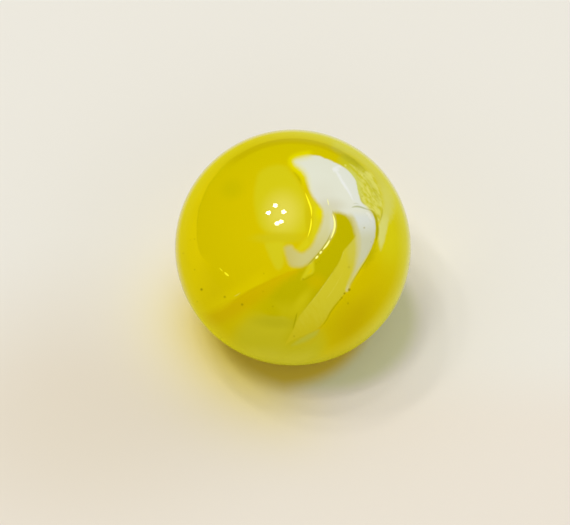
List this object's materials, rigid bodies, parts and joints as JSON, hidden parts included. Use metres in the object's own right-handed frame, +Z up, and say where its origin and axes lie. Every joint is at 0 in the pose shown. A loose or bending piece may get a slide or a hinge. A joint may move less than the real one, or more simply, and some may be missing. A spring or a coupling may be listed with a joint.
{
  "type": "glass marble",
  "caption": "Solid glass ball with a swirl folded into it and shallow fold lines in its skin.",
  "frame": {"origin": "centre of the ball", "axes": "+Z up; the swirled face leans 30 degrees from +Z towards -Y, the front"},
  "size_m": [0.016, 0.016, 0.016],
  "materials": {
    "glass": "fire-polished, cloudy yellow with a white swirl"
  },
  "bodies": {
    "root": {"marble": "glass"}
  },
  "joints": []
}
